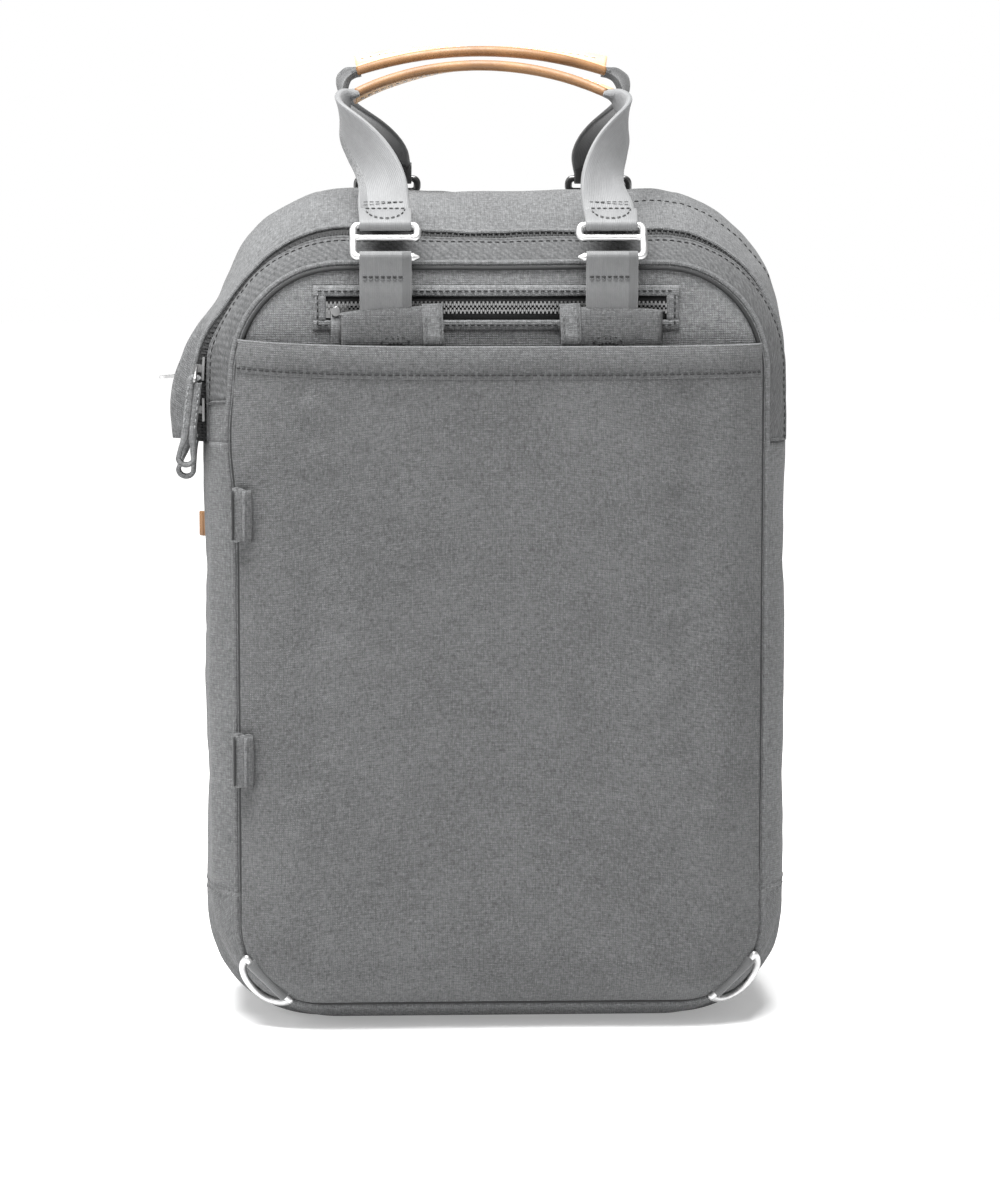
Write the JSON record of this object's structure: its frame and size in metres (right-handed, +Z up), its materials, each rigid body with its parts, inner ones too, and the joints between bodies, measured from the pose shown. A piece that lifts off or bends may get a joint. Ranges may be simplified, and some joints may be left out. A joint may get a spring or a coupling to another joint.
{
  "type": "travel backpack",
  "caption": "Canvas travel backpack with a zipped flap opening, a pocket that stows the shoulder straps, corner rings and leather carry grips on gate hooks.",
  "frame": {"origin": "on the floor, at the centre of the base", "axes": "+X across the bag, +Y from the harness side to the front, +Z up"},
  "size_m": [0.335, 0.1576, 0.5177],
  "materials": {
    "canvas": "washed grey canvas",
    "lining": "plain woven lining",
    "board": "matte",
    "webbing": "satin woven webbing",
    "zip": "coil zip tape",
    "leather": "vegetable tanned, smooth",
    "hardware": "satin nickel"
  },
  "bodies": {
    "body": {"front_panel": "canvas", "front_pocket_back": "lining", "front_zip": "zip", "top_gusset": "canvas", "side_gusset_left": "canvas", "side_gusset_right": "canvas", "bottom_gusset": "canvas", "base_board": "board", "lining": "lining", "laptop_sleeve": "lining", "lower_back_panel": "canvas", "slip_pocket_lower": "canvas", "shoulder_strap_left": "canvas", "shoulder_strap_right": "canvas", "strap_webbing_left": "webbing", "strap_webbing_right": "webbing", "strap_adjuster_left": "hardware", "strap_adjuster_right": "hardware", "strap_hook_left": "hardware", "strap_hook_right": "hardware", "side_loop_upper": "canvas", "side_loop_lower": "canvas", "ring_tab_left": "webbing", "ring_tab_right": "webbing", "main_zip_body_half": "zip", "leather_side_tab": "leather", "front_anchor_left": "webbing", "front_anchor_right": "webbing"},
    "flap": {"flap_band": "canvas", "upper_back_panel": "canvas", "main_zip_flap_half": "zip", "slip_pocket_upper": "canvas", "strap_top_left": "canvas", "strap_top_right": "canvas", "hook_loop_left": "webbing", "hook_loop_right": "webbing", "back_zip": "zip", "zip_pocket_bag": "lining"},
    "near_hook_left": {"near_hook_left": "hardware"},
    "near_hook_right": {"near_hook_right": "hardware"},
    "far_hook_left": {"far_hook_left": "hardware"},
    "far_hook_right": {"far_hook_right": "hardware"},
    "main_slider_upper": {"main_slider_upper": "hardware"},
    "main_pull_upper": {"main_pull_upper": "canvas"},
    "main_slider_lower": {"main_slider_lower": "hardware"},
    "main_pull_lower": {"main_pull_lower": "canvas"},
    "back_slider": {"back_slider": "hardware"},
    "back_pull": {"back_pull": "leather"},
    "front_slider": {"front_slider": "hardware"},
    "front_pull": {"front_pull": "hardware"},
    "d_ring_left": {"d_ring_left": "hardware"},
    "d_ring_right": {"d_ring_right": "hardware"},
    "near_handle": {"near_handle_webbing": "webbing", "near_grip": "leather"},
    "far_handle": {"far_handle_webbing": "webbing", "far_grip": "leather"}
  },
  "joints": [
    {"name": "flap_open", "type": "hinge", "parent": "body", "child": "flap", "pos_m": [0, -0.086, 0.306], "axis": [1, 0, 0], "range_deg": [0, 60]},
    {"name": "near_hook_left_pivot", "type": "hinge", "parent": "flap", "child": "near_hook_left", "pos_m": [-0.059, -0.0843, 0.401], "axis": [1, 0, 0], "range_deg": [0, 50]},
    {"name": "near_hook_right_pivot", "type": "hinge", "parent": "flap", "child": "near_hook_right", "pos_m": [0.056, -0.0843, 0.401], "axis": [1, 0, 0], "range_deg": [0, 50]},
    {"name": "near_handle_swing", "type": "hinge", "parent": "near_hook_left", "child": "near_handle", "pos_m": [-0.0015, -0.07686, 0.41695], "axis": [1, 0, 0], "range_deg": [0, 120]},
    {"name": "far_hook_left_pivot", "type": "hinge", "parent": "body", "child": "far_hook_left", "pos_m": [-0.0565, 0.0673, 0.4235], "axis": [1, 0, 0], "range_deg": [-50, 0]},
    {"name": "far_hook_right_pivot", "type": "hinge", "parent": "body", "child": "far_hook_right", "pos_m": [0.0585, 0.0673, 0.4235], "axis": [1, 0, 0], "range_deg": [-50, 0]},
    {"name": "far_handle_swing", "type": "hinge", "parent": "far_hook_left", "child": "far_handle", "pos_m": [0.001, 0.06186, 0.44024], "axis": [1, 0, 0], "range_deg": [-120, 0]},
    {"name": "main_slider_upper_travel", "type": "hinge", "parent": "body", "child": "main_slider_upper", "pos_m": [-0.077, -0.052, 0.339], "axis": [0, 1, 0], "range_deg": [0, 80]},
    {"name": "main_pull_upper_swing", "type": "hinge", "parent": "main_slider_upper", "child": "main_pull_upper", "pos_m": [-0.15608, -0.052, 0.34328], "axis": [0, 1, 0], "range_deg": [0, 100]},
    {"name": "main_slider_lower_travel", "type": "slide", "parent": "body", "child": "main_slider_lower", "axis": [0, 0, 1], "range_m": [-0.008, 0.004]},
    {"name": "main_pull_lower_swing", "type": "hinge", "parent": "main_slider_lower", "child": "main_pull_lower", "pos_m": [-0.1562, -0.052, 0.322], "axis": [0, 1, 0], "range_deg": [0, 100]},
    {"name": "front_slider_travel", "type": "slide", "parent": "body", "child": "front_slider", "axis": [0, 0, 1], "range_m": [-0.212, 0]},
    {"name": "front_pull_swing", "type": "hinge", "parent": "front_slider", "child": "front_pull", "pos_m": [-0.1542, 0.047, 0.336], "axis": [0, 1, 0], "range_deg": [-80, 60]},
    {"name": "back_slider_travel", "type": "slide", "parent": "flap", "child": "back_slider", "axis": [1, 0, 0], "range_m": [0, 0.16]},
    {"name": "back_pull_swing", "type": "hinge", "parent": "back_slider", "child": "back_pull", "pos_m": [-0.0843, -0.0725, 0.373], "axis": [0, 1, 0], "range_deg": [-75, 75]},
    {"name": "d_ring_left_swing", "type": "hinge", "parent": "body", "child": "d_ring_left", "pos_m": [-0.121, -0.07328, 0.027], "axis": [-0.7071, 0, 0.7071], "range_deg": [0, 130]},
    {"name": "d_ring_right_swing", "type": "hinge", "parent": "body", "child": "d_ring_right", "pos_m": [0.121, -0.07328, 0.027], "axis": [-0.7071, 0, -0.7071], "range_deg": [0, 130]}
  ],
  "couplings": [
    {"joint": "near_hook_right_pivot", "follows": "near_hook_left_pivot", "ratio": 1},
    {"joint": "far_hook_right_pivot", "follows": "far_hook_left_pivot", "ratio": 1}
  ]
}
